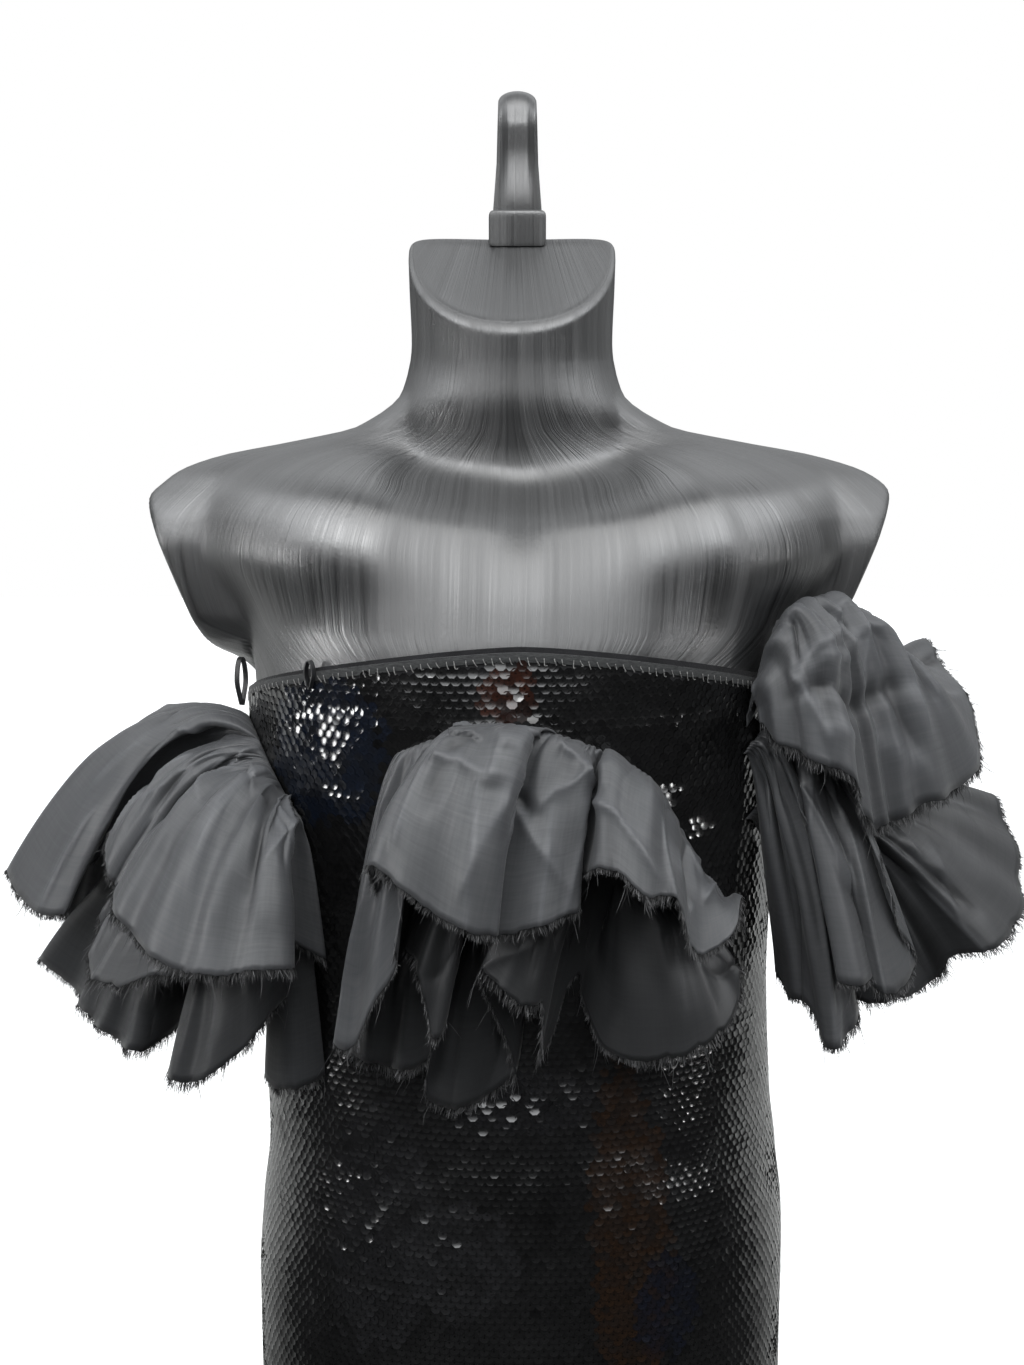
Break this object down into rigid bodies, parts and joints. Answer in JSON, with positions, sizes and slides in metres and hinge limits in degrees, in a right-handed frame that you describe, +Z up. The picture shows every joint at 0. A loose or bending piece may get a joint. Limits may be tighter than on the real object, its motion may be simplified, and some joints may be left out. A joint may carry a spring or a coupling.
{
  "type": "strapless mini dress on a limbless torso form",
  "caption": "Sequined strapless mini dress with gathered raw-edged ruffle clusters, carried by a half-round hanging torso form with a hook.",
  "frame": {"origin": "middle of the form's flat base, on the surface that the form stands on", "axes": "+Z up through the neck, -Y to the wearer's front, +X to the wearer's left-hand side"},
  "size_m": [0.5837, 0.2632, 0.94],
  "materials": {
    "sequins": "glossy black disc sequins in fish-scale rows on black stretch mesh",
    "taffeta": "charcoal black taffeta, soft sheen, raw frayed edges",
    "velvet": "matt black velvet-faced elastic",
    "ribbon": "narrow black satin ribbon",
    "plastic": "streaky dark grey moulded plastic, semi-gloss"
  },
  "bodies": {
    "root": {"form_torso": "plastic", "form_hook": "plastic", "front_panel": "sequins", "back_panel": "sequins", "top_tape_front": "velvet", "top_tape_back": "velvet", "hanger_loop_outer": "ribbon", "hanger_loop_inner": "ribbon", "left_flounce_upper": "taffeta", "left_flounce_middle": "taffeta", "left_flounce_lower": "taffeta", "centre_flounce_upper": "taffeta", "centre_flounce_lower": "taffeta", "right_flounce_upper": "taffeta", "right_flounce_middle": "taffeta", "right_flounce_lower": "taffeta"}
  },
  "joints": []
}
